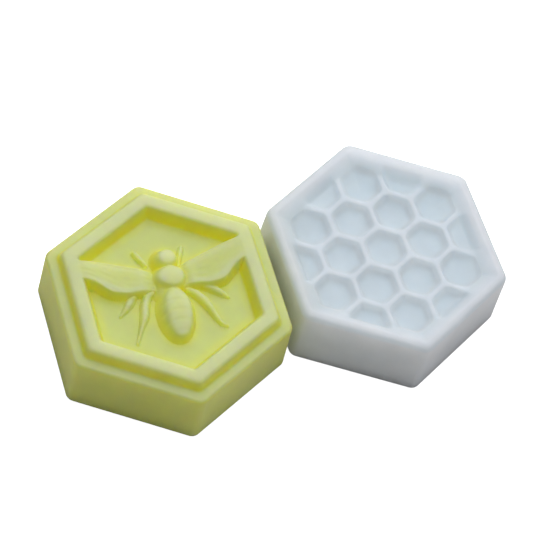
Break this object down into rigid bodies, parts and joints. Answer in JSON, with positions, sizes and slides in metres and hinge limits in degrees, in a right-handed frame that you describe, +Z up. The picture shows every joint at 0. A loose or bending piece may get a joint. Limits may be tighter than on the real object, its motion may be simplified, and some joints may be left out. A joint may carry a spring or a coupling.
{
  "type": "moulded hexagonal candle tablet pair",
  "caption": "Solid hexagonal cast tablets side by side: a yellow one with a raised bee inside a standing frame, a white one with sunk honeycomb cells inside a rim.",
  "frame": {"origin": "on the table, midway between the two tablets, at the middle of their shared footprint", "axes": "+Z up; +Y is the way the bee's head points; +X runs from the bee tablet to the honeycomb tablet"},
  "size_m": [0.1365, 0.0795, 0.023],
  "materials": {
    "yellow_wax": "soft satin, slightly translucent pale yellow wax",
    "white_wax": "soft satin, slightly translucent cool white wax"
  },
  "bodies": {
    "bee_tablet": {"bee_block": "yellow_wax"},
    "honeycomb_tablet": {"honeycomb_block": "white_wax"}
  },
  "joints": [
    {"name": "lift_honeycomb_block", "type": "slide", "parent": "bee_tablet", "child": "honeycomb_tablet", "axis": [0, 0, 1], "range_m": [0, 0.06]}
  ]
}
